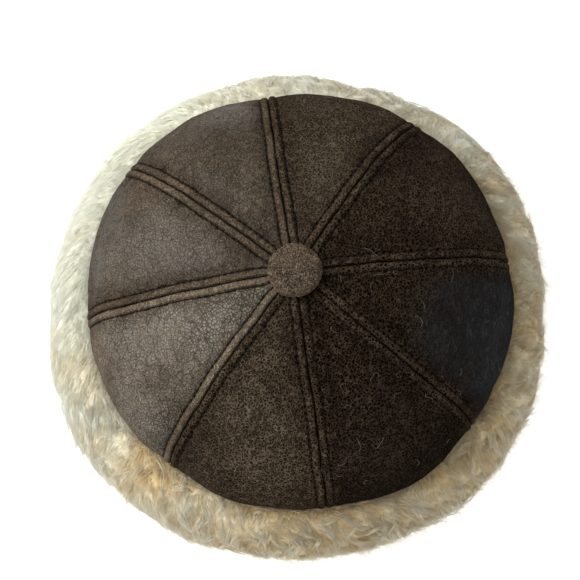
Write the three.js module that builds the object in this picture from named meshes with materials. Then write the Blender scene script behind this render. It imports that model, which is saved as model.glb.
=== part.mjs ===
// Leather beanie with a turned-up shearling cuff, as a three.js scene graph in millimetres.
// It stands on its cuff on the plane z = 0, with +Z up through the covered button and -Y towards the wearer's front.
// Eight leather panels meet at raised, topstitched seams. The cuff is folded round their lower edges, wool outwards.

import * as THREE from "three";

// Driving dimensions

const CROWN_REACH = 98.5; // widest radius of the leather at a seam
const CROWN_WIDEST = 66; // height of that widest circle
const DOME_RISE = 54; // from the widest circle up to the middle of the crown
const DOME_POWER = 2.15; // superellipse power of the dome: 2 is an ellipse, more is squarer
const CROWN_LEAN = { x: -2.6, y: 1.2 }; // how far the middle of the crown sits off the axis
const WALL_TUCK = 3.6; // how far the cuff draws the leather in below its widest circle
const TUCK_DROP = 16; // height over which it is drawn in
const HEM_HEIGHT = 9; // lower edge of the leather, inside the fold of the cuff
const LEATHER = 2.2; // thickness of the leather
const SEAM_GAP = 0.3; // between two neighbouring panels
const PIECE_GAP = 0.35; // between any other two pieces that touch
const CHORD_SAG = 0.4; // how far the flat faces of a panel lie inside its true round

const RIB_WIDTH = 3.8; // from a seam to its row of topstitching
const RIB_LIFT = 1.1; // height of the padded rib between them
const SEAM_DEPTH = 0.9; // depth of the valley along the seam
const STITCH_DEPTH = 0.5; // depth of the dent that the topstitching pulls in
const RIB_PRESSED = 0.3; // share of the relief that is left under the cuff
const CUFF_TOP = { from: 57, to: 67 }; // heights between which the leather comes free of the cuff

const SHANK_HOLE = 2.2; // radius of the hole in the middle of the crown
const BUTTON_RADIUS = 11.7;
const BUTTON_RISE = 7.2; // top of the button above the crown

const CUFF_COLUMNS = 120; // columns of points round the cuff, two to a lock
const LOCK_SLUMP = 0.55; // how far a lock's tip hangs down, as a share of how far it stands out

// The panels, anticlockwise seen from above, each with the seam that it starts at: the seam's azimuth, how far it bows
// sideways halfway up, and how far it reaches past the true round. Puff is how far the leather swells mid-panel.
const PANELS = [
  { azimuth: 12.4, bow: -1.0, reach: 0, puff: 1.5 },
  { azimuth: 55.6, bow: 1.5, reach: -1.4, puff: 0.9 },
  { azimuth: 99.1, bow: 0.5, reach: -0.6, puff: 1.8 },
  { azimuth: 143.7, bow: -1.0, reach: 0.2, puff: 1.2 },
  { azimuth: 187.0, bow: 1.5, reach: -0.8, puff: 2.0 },
  { azimuth: 232.4, bow: -0.5, reach: -0.5, puff: 1.1 },
  { azimuth: 276.8, bow: 0.5, reach: -0.4, puff: 1.4 },
  { azimuth: 322.6, bow: -1.5, reach: 0.8, puff: 1.3 },
];

// Rows of a panel, from the hole in the middle down to the hem, as radii on the dome and then heights on the wall.
const DOME_RADII = [SHANK_HOLE, 8, 14, 23, 36, 50, 64, 77, 88, 95.2];
const WALL_HEIGHTS = [CROWN_WIDEST, 58, 50, 29, HEM_HEIGHT];

// Columns of a panel, as distances from its seam, mirrored on the other half, and the share of the half panel that they
// may take up near the crown, where it is narrow.
const SEAM_COLUMNS = [
  { off: 0.9, share: 0.3 },
  { off: RIB_WIDTH / 2, share: 0.45 },
  { off: RIB_WIDTH, share: 0.7 },
  { off: 5.4, share: 0.85 },
];

// Section of the cuff, from the middle of its foot out, up, over the top, down the leather, under the hem, up inside it
// and back. lift is how far the locks stand proud there. A row beside the wall of the crown takes its radius from it.
const CUFF_ROWS = [
  { radius: 111, height: 0, lift: 0 },
  { radius: 117.4, height: 4.5, lift: 1.6 },
  { radius: 119.8, height: 14, lift: 3.0 },
  { radius: 120.2, height: 24.5, lift: 3.0 },
  { radius: 119.6, height: 35, lift: 3.0 },
  { radius: 117.6, height: 45, lift: 3.0 },
  { radius: 113.6, height: 54, lift: 2.8 },
  { radius: 107.6, height: 60.5, lift: 2.2 },
  { radius: 102.4, height: 61.5, lift: 0.8 },
  { beside: "outer", height: 58, lift: 0 },
  { beside: "outer", height: 50, lift: 0 },
  { beside: "outer", height: HEM_HEIGHT - PIECE_GAP, lift: 0 },
  { beside: "inner", height: HEM_HEIGHT - PIECE_GAP, lift: 0 },
  { beside: "inner", height: 48, lift: 0 },
  { radius: 90.4, height: 51, lift: 0 },
  { radius: 88.6, height: 41, lift: 1.2 },
  { radius: 87.8, height: 28, lift: 1.4 },
  { radius: 88.0, height: 15, lift: 1.4 },
  { radius: 89.6, height: 4, lift: 0.8 },
  { radius: 94, height: 0, lift: 0 },
];

// How much fuller than its section the wool is round the cuff.
const CUFF_FULLNESS = [
  { azimuth: 0, fuller: -0.5 },
  { azimuth: 45, fuller: 1.6 },
  { azimuth: 90, fuller: -0.8 },
  { azimuth: 135, fuller: -0.2 },
  { azimuth: 180, fuller: -0.4 },
  { azimuth: 215, fuller: 1.8 },
  { azimuth: 265, fuller: -1.2 },
  { azimuth: 315, fuller: 2.2 },
];

// Section of the covered button, from the foot of its shank up to the edge of its underside, above the crown.
const BUTTON_SECTION = [
  { radius: 0, above: -LEATHER - PIECE_GAP - 1.0 },
  { radius: 4.0, above: -LEATHER - PIECE_GAP - 1.0 },
  { radius: 4.0, above: -LEATHER - PIECE_GAP },
  { radius: 1.6, above: -LEATHER - PIECE_GAP },
  { radius: 1.6, above: PIECE_GAP },
  { radius: 7.5, above: 0.5 },
  { radius: 10.4, above: 1.8 },
];
const BUTTON_WAIST = 3.4; // height of its widest circle above the crown
const BUTTON_STEPS = 7; // steps of its rounded side and top
const BUTTON_SEGMENTS = 28;

const leather = new THREE.MeshStandardMaterial({ color: 0x4d4036, roughness: 0.62, metalness: 0 });
const buttonLeather = new THREE.MeshStandardMaterial({ color: 0x665343, roughness: 0.8, metalness: 0 });
const shearling = new THREE.MeshStandardMaterial({ color: 0xe2d8ba, roughness: 0.95, metalness: 0 });

const radians = THREE.MathUtils.degToRad;
const smooth = (x, from, to) => THREE.MathUtils.smoothstep(x, from, to);

// Height of the dome over a radius.
function domeHeight(radius) {
  const share = Math.min(1, radius / CROWN_REACH);
  return CROWN_WIDEST + DOME_RISE * (1 - share ** DOME_POWER) ** (1 / DOME_POWER);
}

// Radius of the wall below the widest circle, which the cuff draws in.
function wallRadius(height) {
  return CROWN_REACH - WALL_TUCK * smooth(CROWN_WIDEST - height, 0, TUCK_DROP);
}

// The crown's section: each row has its radius, height, outward normal (out, up), and how free it is of the cuff.
function crownRows() {
  const rows = [
    ...DOME_RADII.map((radius) => ({ radius, height: domeHeight(radius) })),
    ...WALL_HEIGHTS.map((height) => ({ radius: wallRadius(height), height })),
  ];
  return rows.map((row, i) => {
    const before = rows[Math.max(0, i - 1)];
    const after = rows[Math.min(rows.length - 1, i + 1)];
    const run = after.radius - before.radius;
    const drop = before.height - after.height;
    const length = Math.hypot(run, drop);
    return { ...row, out: drop / length, up: run / length, free: smooth(row.height, CUFF_TOP.from, CUFF_TOP.to) };
  });
}

// Height of the leather's face above its plain surface, at a distance from the seam: a valley at the seam, a padded rib,
// and the dent of the topstitching, all fading out under the button and pressed flat under the cuff.
function seamRelief(off, ribWidth, row) {
  const across = Math.min(1, off / ribWidth);
  const rib = RIB_LIFT * Math.sin(Math.PI * across);
  const valley = SEAM_DEPTH * Math.exp(-((off / 0.8) ** 2));
  const dent = STITCH_DEPTH * Math.exp(-(((off - ribWidth) / 0.7) ** 2));
  const pressed = RIB_PRESSED + (1 - RIB_PRESSED) * row.free;
  return (rib - valley - dent) * pressed * smooth(row.radius, 6, 12);
}

// Azimuth of a seam at a row: straight down the crown, but for its bow.
function seamAzimuth(panel, row) {
  const share = Math.min(1, row.radius / CROWN_REACH);
  return radians(panel.azimuth + panel.bow * Math.sin(Math.PI * share) * row.free);
}

// Columns of a panel at a row of a given width: distance from the nearer seam, and place across as a share.
function panelColumns(width) {
  const half = width / 2;
  const offs = [SEAM_GAP / 2, ...SEAM_COLUMNS.map(({ off, share }) => Math.min(off, share * half))];
  offs.push((offs[offs.length - 1] + half) / 2);
  return [
    ...offs.map((off) => ({ off, across: off / width })),
    { off: half, across: 0.5 },
    ...offs.reverse().map((off) => ({ off, across: 1 - off / width })),
  ];
}

function bodyOf(points, index) {
  const geometry = new THREE.BufferGeometry().setFromPoints(points);
  geometry.setIndex(index);
  geometry.computeVertexNormals();
  return geometry;
}

// A closed body from two grids of points with the same rows and columns, whose borders are joined by strips.
function shellBetween(outer, inner) {
  const rows = outer.length;
  const columns = outer[0].length;
  const lastRow = rows - 1;
  const lastColumn = columns - 1;
  const outerAt = (i, j) => i * columns + j;
  const innerAt = (i, j) => rows * columns + i * columns + j;
  const index = [];
  const quad = (a, b, c, d) => index.push(a, b, c, a, c, d);
  for (let i = 0; i < lastRow; i++) {
    for (let j = 0; j < lastColumn; j++) {
      quad(outerAt(i, j), outerAt(i + 1, j), outerAt(i + 1, j + 1), outerAt(i, j + 1));
      quad(innerAt(i, j), innerAt(i, j + 1), innerAt(i + 1, j + 1), innerAt(i + 1, j));
    }
    quad(outerAt(i, 0), innerAt(i, 0), innerAt(i + 1, 0), outerAt(i + 1, 0));
    quad(outerAt(i, lastColumn), outerAt(i + 1, lastColumn), innerAt(i + 1, lastColumn), innerAt(i, lastColumn));
  }
  for (let j = 0; j < lastColumn; j++) {
    quad(outerAt(0, j), outerAt(0, j + 1), innerAt(0, j + 1), innerAt(0, j));
    quad(outerAt(lastRow, j), innerAt(lastRow, j), innerAt(lastRow, j + 1), outerAt(lastRow, j + 1));
  }
  return bodyOf([...outer.flat(), ...inner.flat()], index);
}

// A closed ring from a grid of points whose rows and columns both run round to their start. Each square is cut between
// its two even corners, so that every odd point is the tip of a lock of its own.
function ringOf(grid) {
  const rows = grid.length;
  const columns = grid[0].length;
  const index = [];
  for (let i = 0; i < rows; i++) {
    for (let j = 0; j < columns; j++) {
      const here = i * columns + j;
      const beside = i * columns + ((j + 1) % columns);
      const above = ((i + 1) % rows) * columns + j;
      const across = ((i + 1) % rows) * columns + ((j + 1) % columns);
      if ((i + j) % 2) index.push(here, beside, above, beside, across, above);
      else index.push(here, beside, across, here, across, above);
    }
  }
  return bodyOf(grid.flat(), index);
}

function polar(azimuth, radius, height) {
  return new THREE.Vector3(radius * Math.cos(azimuth), radius * Math.sin(azimuth), height);
}

// A point of the crown. The lean moves the middle most, and the widest circle and the wall below it not at all.
function crownPoint(azimuth, row, proud, reach) {
  const share = Math.min(1, row.radius / CROWN_REACH);
  const lean = row.height > CROWN_WIDEST ? 1 - share ** 2 : 0;
  const radius = row.radius + proud * row.out + reach * share * row.free;
  const point = polar(azimuth, radius, row.height + proud * row.up);
  return point.add(new THREE.Vector3(CROWN_LEAN.x * lean, CROWN_LEAN.y * lean, 0));
}

// One leather panel: a puffed wedge of the crown, with half of a seam's rib along each edge and a smooth inner face.
function panelGeometry(panel, next) {
  const outer = [];
  const inner = [];
  for (const row of crownRows()) {
    const from = seamAzimuth(panel, row);
    const turn = (seamAzimuth(next, row) - from + 2 * Math.PI) % (2 * Math.PI);
    const width = turn * row.radius;
    const ribWidth = Math.min(RIB_WIDTH, 0.35 * width);
    const swell = panel.puff * row.free * smooth(row.radius, 10, 70);
    const place = (across, proud) => {
      const puff = swell * Math.sin(Math.PI * across) ** 1.5;
      const reach = THREE.MathUtils.lerp(panel.reach, next.reach, smooth(across, 0, 1));
      return crownPoint(from + turn * across, row, puff + proud, reach);
    };
    const columns = panelColumns(width);
    outer.push(columns.map(({ off, across }) => place(across, seamRelief(off, ribWidth, row))));
    inner.push(columns.map(({ across }) => place(across, -LEATHER)));
  }
  return shellBetween(outer, inner);
}

// A repeatable number from 0 to 1 for a lock, so that no two locks are alike.
function lockVariation(row, column) {
  const wave = Math.sin(row * 12.9898 + column * 78.233) * 43758.5453;
  return wave - Math.floor(wave);
}

// Extra fullness of the wool at an azimuth in degrees, eased from each row of the table to the next.
function fullness(azimuth) {
  const count = CUFF_FULLNESS.length;
  const i = CUFF_FULLNESS.findLastIndex((row) => row.azimuth <= azimuth);
  const here = CUFF_FULLNESS[i];
  const there = CUFF_FULLNESS[(i + 1) % count];
  const span = (there.azimuth - here.azimuth + 360) % 360;
  return THREE.MathUtils.lerp(here.fuller, there.fuller, smooth((azimuth - here.azimuth) / span, 0, 1));
}

// Radius of a row of the cuff's section: its own, or a gap away from one face of the leather wall.
function cuffRadius(row) {
  if (row.beside === "outer") return wallRadius(row.height) + RIB_LIFT * RIB_PRESSED + PIECE_GAP;
  if (row.beside === "inner") return wallRadius(row.height) - LEATHER - CHORD_SAG - PIECE_GAP;
  return row.radius;
}

// The cuff: one sheepskin folded round the hem. Every second point of its wool stands out and slumps, staggered from row
// to row, so that the outer form is in overlapping locks.
function cuffGeometry() {
  const section = CUFF_ROWS.map((row) => ({ ...row, radius: cuffRadius(row) }));
  const grid = section.map((row, i) => {
    const before = section[(i + section.length - 1) % section.length];
    const after = section[(i + 1) % section.length];
    const run = after.radius - before.radius;
    const rise = after.height - before.height;
    const length = Math.hypot(run, rise);
    const out = rise / length;
    const up = -run / length;
    const outerWool = row.radius > CROWN_REACH ? smooth(row.radius, 100, 115) : 0;
    return Array.from({ length: CUFF_COLUMNS }, (_, j) => {
      const azimuth = (360 * j) / CUFF_COLUMNS;
      const lock = (i + j) % 2 ? row.lift * (0.45 + 0.75 * lockVariation(i, j)) : 0;
      const radius = row.radius + out * lock + outerWool * fullness(azimuth);
      const height = row.height + up * lock - LOCK_SLUMP * lock * Math.abs(out);
      return polar(radians(azimuth), radius, height);
    });
  });
  return ringOf(grid);
}

// The covered button with its shank and foot, turned about its axis. Its side and top are one quarter superellipse.
function buttonGeometry() {
  const lower = BUTTON_SECTION.map(({ radius, above }) => new THREE.Vector2(radius, above));
  const upper = Array.from({ length: BUTTON_STEPS }, (_, k) => {
    const angle = (Math.PI / 2) * (k / (BUTTON_STEPS - 1));
    const last = k === BUTTON_STEPS - 1;
    const radius = last ? 0 : BUTTON_RADIUS * Math.cos(angle) ** 0.8;
    return new THREE.Vector2(radius, BUTTON_WAIST + (BUTTON_RISE - BUTTON_WAIST) * Math.sin(angle) ** 0.8);
  });
  return new THREE.LatheGeometry([...lower, ...upper], BUTTON_SEGMENTS);
}

function named(name, geometry, material) {
  const mesh = new THREE.Mesh(geometry, material);
  mesh.name = name;
  return mesh;
}

const beanie = new THREE.Group();

const crown = new THREE.Group();
PANELS.forEach((panel, i) => {
  const next = PANELS[(i + 1) % PANELS.length];
  crown.add(named(`crown_panel_${i + 1}`, panelGeometry(panel, next), leather));
});
beanie.add(crown);

beanie.add(named("shearling_cuff", cuffGeometry(), shearling));

const button = named("top_button", buttonGeometry(), buttonLeather);
button.rotation.x = Math.PI / 2;
button.position.set(CROWN_LEAN.x, CROWN_LEAN.y, domeHeight(0));
beanie.add(button);

export default beanie;
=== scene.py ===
"""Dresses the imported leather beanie: seamed leather crown, topstitching, covered button and shearling cuff.

Shapes are worked out in millimetres as numpy arrays and put into their meshes in metres.
"""

import bpy
import numpy as np
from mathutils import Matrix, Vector


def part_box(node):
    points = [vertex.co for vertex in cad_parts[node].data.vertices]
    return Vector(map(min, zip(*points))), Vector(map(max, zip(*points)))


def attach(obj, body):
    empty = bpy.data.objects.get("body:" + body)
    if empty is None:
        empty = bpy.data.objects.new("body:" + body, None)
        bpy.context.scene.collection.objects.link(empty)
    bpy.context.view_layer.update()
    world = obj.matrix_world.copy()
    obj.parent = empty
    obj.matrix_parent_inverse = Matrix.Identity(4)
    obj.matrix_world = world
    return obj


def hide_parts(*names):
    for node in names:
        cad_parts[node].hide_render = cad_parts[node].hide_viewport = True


bl_info = {
    "name": "Leather Beanie",
    "version": (1, 0, 0),
    "blender": (4, 5, 0),
    "location": "3D View > Sidebar > Beanie",
    "description": "Builds a seamed leather beanie with a turned-up shearling cuff",
    "category": "Add Mesh",
}

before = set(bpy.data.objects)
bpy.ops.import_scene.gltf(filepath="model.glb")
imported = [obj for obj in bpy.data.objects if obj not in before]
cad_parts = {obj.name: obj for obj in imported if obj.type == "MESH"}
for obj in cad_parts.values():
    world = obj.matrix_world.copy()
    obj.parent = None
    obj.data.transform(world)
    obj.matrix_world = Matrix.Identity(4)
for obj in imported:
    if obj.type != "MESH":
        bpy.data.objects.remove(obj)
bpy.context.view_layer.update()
BUTTON_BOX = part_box("top_button")

MM = 0.001


def columns(*names):
    """Named columns of numbers for a table."""
    return [(name, float) for name in names]

# The crown's shape, in millimetres, as the solids have it

CROWN_REACH = 98.5
CROWN_WIDEST = 66.0
DOME_RISE = 54.0
DOME_POWER = 2.15
WALL_TUCK = 3.6
TUCK_DROP = 16.0
HEM_HEIGHT = 9.0
LEATHER = 2.2
SHANK_HOLE = 2.2
CUFF_TOP = (57.0, 67.0)
DOME_POINTS = 500
WALL_POINTS = 200
CROWN_LEAN = np.array(((BUTTON_BOX[0] + BUTTON_BOX[1]) / 2)[:2]) / MM

# A panel runs from its seam, at azimuth, to the next one. Bow is how many degrees the seam bends, reach how
# far out it is moved at the rim, and puff how far the panel swells, in millimetres. Shade is how light its
# skin is drawn: partly its own tone and partly painted light, lighter on the left where the window light
# falls and darker on the right. Polish is how smooth it is, pitted how deep its grain, and the last column
# how strong a painted blue sheen, a painted reflection, lies towards the rim.

PANELS = np.array(
    [
        (8.6, -0.6, 0.6, 1.5, 0.50, 0.15, 0.92, 0.0),
        (55.6, 1.5, 0.6, 0.9, 0.92, 0.20, 0.75, 0.0),
        (99.1, 0.5, -1.2, 1.8, 1.32, 0.75, 0.55, 0.0),
        (143.7, -1.0, 2.3, 1.2, 1.48, 0.66, 0.50, 0.0),
        (187.0, 1.5, 0.9, 2.0, 2.10, 0.95, 0.48, 0.0),
        (232.4, -0.5, -0.5, 1.1, 0.84, 0.20, 0.92, 0.0),
        (276.8, 0.5, -0.4, 1.4, 0.41, 0.05, 1.00, 0.08),
        (322.6, -1.5, 0.8, 1.3, 0.42, 0.10, 1.00, 1.0),
    ],
    dtype=columns("azimuth", "bow", "reach", "puff", "shade", "polish", "pitted", "painted_sheen"),
)
PANEL_COUNT = len(PANELS)

# Loose fibres of wool on each panel

FIBRES = (3, 2, 5, 3, 4, 6, 18, 12)

# The cuff's section, from the middle of its foot out, up, over the top, down the leather, under the hem and
# back inside. Wool is how deep the pile is there.

CUFF_ROWS = np.array(
    [
        (111.0, 0.0, 3.0),
        (117.4, 4.5, 8.0),
        (119.8, 14.0, 10.0),
        (120.2, 24.5, 10.0),
        (119.6, 35.0, 10.0),
        (117.6, 45.0, 10.0),
        (113.6, 54.0, 9.5),
        (107.6, 60.5, 8.0),
        (102.4, 61.5, 5.0),
        (97.2, 58.0, 0.0),
        (95.6, 50.0, 0.0),
        (95.6, 8.6, 0.0),
        (92.0, 8.6, 0.0),
        (92.0, 48.0, 0.0),
        (90.4, 51.0, 2.0),
        (88.6, 41.0, 5.0),
        (87.8, 28.0, 5.0),
        (88.0, 15.0, 5.0),
        (89.6, 4.0, 4.0),
        (94.0, 0.0, 1.5),
    ],
    dtype=columns("radius", "height", "wool"),
)

# Round the cuff: how much fuller it is, how golden its wool is (partly its own tint and partly painted warm
# shade on the side away from the light), how tall the fringe at its edge is, how far its wool is combed
# round it, in radians, and how much painted shade its wool gets, which also makes it lie more unevenly.

CUFF_ROUND = np.array(
    [
        (0.0, 1.0, 0.74, 2.5, 0.0, 0.33),
        (20.0, 4.6, 0.66, 1.5, 0.0, 0.33),
        (45.0, 4.6, 0.42, 1.5, -0.2, 0.40),
        (60.0, 1.6, 0.22, 2.5, 0.0, 0.55),
        (75.0, -1.6, 0.10, 4.0, 0.2, 0.65),
        (95.0, 1.0, 0.06, 4.0, 0.3, 0.65),
        (115.0, 2.2, 0.03, 3.0, 0.6, 0.38),
        (135.0, 3.9, 0.02, 3.5, 0.9, 0.06),
        (180.0, 4.0, 0.00, 4.0, 1.0, -0.22),
        (212.0, 7.3, 0.28, 5.0, 0.7, 0.38),
        (240.0, 4.3, 0.58, 7.0, 0.3, 0.55),
        (265.0, 0.8, 0.94, 8.0, 0.0, 0.68),
        (290.0, 1.2, 0.85, 9.0, 0.1, 0.50),
        (315.0, 4.4, 0.72, 9.0, 0.15, 0.28),
        (345.0, 3.6, 0.76, 5.0, 0.1, 0.28),
        (360.0, 1.0, 0.74, 2.5, 0.0, 0.33),
    ],
    dtype=columns("azimuth", "fuller", "golden", "fringe", "combed", "shaded"),
)


def number_setting(name, description, default, **kind):
    """A number that a user can change, with its unit or subtype."""
    return bpy.props.FloatProperty(name=name, description=description, default=default, **kind)


def length_setting(name, description, default):
    """A length in metres that a user can change."""
    return number_setting(name, description, default, unit="LENGTH")


def color_setting(name, description, default):
    """A colour that a user can change."""
    return bpy.props.FloatVectorProperty(name=name, description=description, default=default, subtype="COLOR")


class BeanieCrownSettings(bpy.types.PropertyGroup):
    """Sizes and colours of the leather crown."""

    rib_width: length_setting("Rib width", "From a seam to its row of topstitching", 3.8 * MM)
    rib_lift: length_setting("Rib height", "Height of the padded rib beside a seam", 0.85 * MM)
    stitch_pitch: length_setting("Stitch length", "From one stitch to the next", 3.1 * MM)
    leather_color: color_setting("Leather", "Main colour of the worn leather", (0.066, 0.044, 0.028))
    worn_color: color_setting("Worn leather", "Colour where the finish has rubbed off", (0.186, 0.139, 0.095))
    thread_color: color_setting("Thread", "Colour of the topstitching", (0.015, 0.011, 0.008))


class BeanieWoolSettings(bpy.types.PropertyGroup):
    """Amount and colours of the wool."""

    lock_spacing: length_setting("Lock spacing", "From one lock of wool to the next", 3.5 * MM)
    strands_per_lock: bpy.props.IntProperty(
        name="Strands in a lock",
        description="Strands that lean together",
        default=9,
    )
    strand_width: length_setting("Strand width", "Width of a strand at its root", 0.20 * MM)
    tip_color: color_setting("Wool tips", "Colour of the tips of the wool", (0.93, 0.945, 0.845))
    golden_color: color_setting("Golden wool", "Colour of the golden patches", (0.82, 0.615, 0.27))
    # The roots' colour also serves as the painted shade deep in the wool.
    root_and_shade_color: color_setting("Wool roots", "Colour deep in the wool", (0.70, 0.665, 0.51))


class BeanieButtonSettings(bpy.types.PropertyGroup):
    """Size and colour of the covered button."""

    radius: length_setting("Radius", "Radius of the covered button", (BUTTON_BOX[1] - BUTTON_BOX[0]).x / 2)
    rise: length_setting("Height", "Height of the button above the crown", 7.2 * MM)
    cover_color: color_setting("Cover", "Colour of the napped leather over the button", (0.140, 0.100, 0.068))


class BeanieStageSettings(bpy.types.PropertyGroup):
    """Camera, light and floor."""

    elevation: number_setting(
        "Camera elevation", "Angle of the view above the floor", np.radians(79.1), subtype="ANGLE"
    )
    distance: length_setting("Camera distance", "From the camera to the point it looks at", 0.6)
    lens: number_setting("Lens", "Focal length, in millimetres", 78.0)
    window_power: number_setting(
        "Window light", "Power of the soft light at the upper left, in watts", 13.5, unit="POWER"
    )
    fill_strength: number_setting("Fill light", "Strength of the even light from all round", 0.46)
    floor_glow: number_setting("Floor glow", "Light that the floor gives by itself", 0.80)
    floor_color: color_setting("Floor", "Colour of the floor", (0.9, 0.9, 0.9))


# Curves and noise


def smooth(x, low, high):
    """Eased step: 0 below low, 1 above high, with a cubic between."""
    t = np.clip((x - low) / (high - low), 0, 1)
    return t * t * (3 - 2 * t)


def unit(vectors):
    """Vectors divided by their lengths."""
    return vectors / np.maximum(np.linalg.norm(vectors, axis=-1, keepdims=True), 1e-9)


def waves(points, size, seed, octaves=3):
    """Soft noise, mostly between -1 and 1.

    It is a sum of sines along random directions. Each octave is half as long and half as high as the last.
    """
    rng = np.random.default_rng(seed)
    sines, gain = 6, 1.6
    total = np.zeros(points.shape[:-1])
    for octave in range(octaves):
        directions = unit(rng.normal(size=(sines, points.shape[-1])))
        lengths = size / 2**octave * rng.uniform(0.8, 1.3, (sines, 1))
        phases = rng.uniform(0, 2 * np.pi, sines)
        turns = points @ (2 * np.pi * directions / lengths).T + phases
        total += 0.5**octave * np.sin(turns).mean(-1)
    return total * gain


def outline_normals(radius, height, closed):
    """Unit normals (out, up) of a section: its direction turned by a quarter, so that up a wall gives out."""
    if closed:
        run = np.roll(radius, -1) - np.roll(radius, 1)
        rise = np.roll(height, -1) - np.roll(height, 1)
    else:
        run, rise = np.gradient(radius), np.gradient(height)
    length = np.maximum(np.hypot(run, rise), 1e-9)
    return rise / length, -run / length


def arc_lengths(radius, height):
    """Distance along a section to each of its points."""
    return np.r_[0, np.cumsum(np.hypot(np.diff(radius), np.diff(height)))]


def polar(azimuth, radius, height):
    """Points from azimuth in degrees, radius and height."""
    turn = np.radians(azimuth)
    return np.stack(np.broadcast_arrays(radius * np.cos(turn), radius * np.sin(turn), height), -1)


# The crown


def crown_section():
    """The crown's section from its middle hole down to the hem.

    It is a superellipse over the dome, then a wall that the cuff draws in.
    """
    start = np.arcsin(SHANK_HOLE / CROWN_REACH)
    dome_radius = CROWN_REACH * np.sin(np.linspace(start, np.pi / 2, DOME_POINTS))
    share = dome_radius / CROWN_REACH
    dome_height = CROWN_WIDEST + DOME_RISE * (1 - share**DOME_POWER) ** (1 / DOME_POWER)
    wall_height = np.linspace(CROWN_WIDEST, HEM_HEIGHT, WALL_POINTS)[1:]
    wall_radius = CROWN_REACH - WALL_TUCK * smooth(CROWN_WIDEST - wall_height, 0, TUCK_DROP)
    radius = np.r_[dome_radius, wall_radius]
    height = np.r_[dome_height, wall_height]
    out, up = outline_normals(radius, height, closed=False)
    return {
        "along": arc_lengths(radius, height),
        "radius": radius,
        "height": height,
        "out": -out,
        "up": -up,
        "free": smooth(height, *CUFF_TOP),
    }


CROWN = crown_section()
CROWN_LENGTH = CROWN["along"][-1]


def crown_at(along, *names):
    """Named curves of the crown's section at distances along it."""
    return [np.interp(along, CROWN["along"], CROWN[name]) for name in names]


def seam_azimuth(seam, along):
    """Azimuth of a seam in degrees: straight but for its bow and for soft waves, as a hand leads it."""
    radius, free = crown_at(along, "radius", "free")
    bow = PANELS["bow"][seam] * np.sin(np.pi * radius / CROWN_REACH)
    track = np.stack(np.broadcast_arrays(along, 31.0 * seam), -1)
    stray = 0.22 * waves(track, size=24.0, seed=61) * smooth(radius, 14, 30) / np.maximum(radius, 10)
    return PANELS["azimuth"][seam] + (bow + np.degrees(stray)) * free


def panel_turn(panel, along):
    """Azimuth where a panel starts and how far it turns, in degrees."""
    start = seam_azimuth(panel % PANEL_COUNT, along)
    return start, (seam_azimuth((panel + 1) % PANEL_COUNT, along) - start) % 360


def crown_points(panel, across, along, proud):
    """Points of a panel.

    Across is a share of its width, along a distance from the middle, and proud the height over the panel. The
    panel swells by a sine of its width, reaches out as its seams do, and leans with the middle of the crown.
    """
    radius, height, out, up, free = crown_at(along, "radius", "height", "out", "up", "free")
    start, turn = panel_turn(panel, along)
    here, there = PANELS[panel % PANEL_COUNT], PANELS[(panel + 1) % PANEL_COUNT]
    share = radius / CROWN_REACH
    swell = here["puff"] * free * smooth(radius, 10, 70)
    lift = swell * np.sin(np.pi * across) ** 1.5 + proud
    reach = here["reach"] + (there["reach"] - here["reach"]) * smooth(across, 0, 1)
    points = polar(start + turn * across, radius + lift * out + reach * share * free, height + lift * up)
    lean = np.where(height > CROWN_WIDEST, 1 - share**2, 0)
    points[..., :2] += CROWN_LEAN * lean[..., None]
    return points


def panel_width(panel, along):
    """Width of a panel at distances along it."""
    return np.radians(panel_turn(panel, along)[1]) * crown_at(along, "radius")[0]


def rib_reach(panel, along, crown):
    """Distance from the seam to its topstitching: narrower near the middle, where the panel is."""
    return np.minimum(crown.rib_width / MM, 0.35 * panel_width(panel, along))


def seam_relief(panel, side, off, along, crown):
    """Height of the leather beside a seam: a valley, a padded rib, the dent of the stitching and its puckers.

    Side is 0 at the panel's first seam and 1 at its last. The puckers are a cosine along the seam, lowest
    where the thread goes in, and slack wrinkles run out from it into the panel.
    """
    radius, free = crown_at(along, "radius", "free")
    reach = rib_reach(panel, along, crown)
    pitch = crown.stitch_pitch / MM
    seam = (panel + side) % PANEL_COUNT
    track = np.stack(np.broadcast_arrays(along, 40.0 * seam + 9.0 * side), -1)
    uneven = waves(track, size=17.0, seed=11, octaves=2)
    x = off / reach
    arch = np.sin(np.pi * np.clip(x, 0, 1))
    rib = crown.rib_lift / MM * (1 + 0.16 * uneven) * arch**0.45 * (1 - 0.4 * smooth(radius, 86, 98.4))
    groove = 0.5 + 0.12 * waves(track, size=6.0, seed=12, octaves=2)
    valley = (0.9 + 0.3 * uneven) * np.exp(-((off / groove) ** 2))
    dent = 0.45 * np.exp(-(((off - reach) / 0.5) ** 2))
    bite = 0.5 + 0.5 * np.cos(2 * np.pi * along / pitch)
    pucker = 0.48 * bite * np.exp(-(((off - 0.92 * reach) / 0.85) ** 2))
    ripple = 0.24 * waves(track * [1, 3], size=5.2, seed=5) * arch
    fading = np.exp(-np.maximum(off - reach, 0) / 5.0) * (x > 1)
    slack = 0.26 * waves(track * [1, 5], size=8.5, seed=23, octaves=2) * fading
    pressed = 0.3 + 0.7 * free
    return (rib - valley - dent - pucker + ripple + slack) * pressed * smooth(radius, 6, 12)


def panel_sag(panel, flat, off, along, crown):
    """Height of the soft dents of the open leather, at its points and their distances from a seam."""
    reach = rib_reach(panel, along, crown)
    dents = 0.95 * waves(flat, size=52.0, seed=40 + panel)
    return dents * crown_at(along, "free")[0] * smooth(off, reach, reach + 9)


# The grid of a panel's outer face: how far its columns lie from the seam over the rib, in millimetres, then
# as shares of the open leather up to its middle, and how many rows show and lie in the cuff. Its inner face
# has fewer columns.

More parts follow.
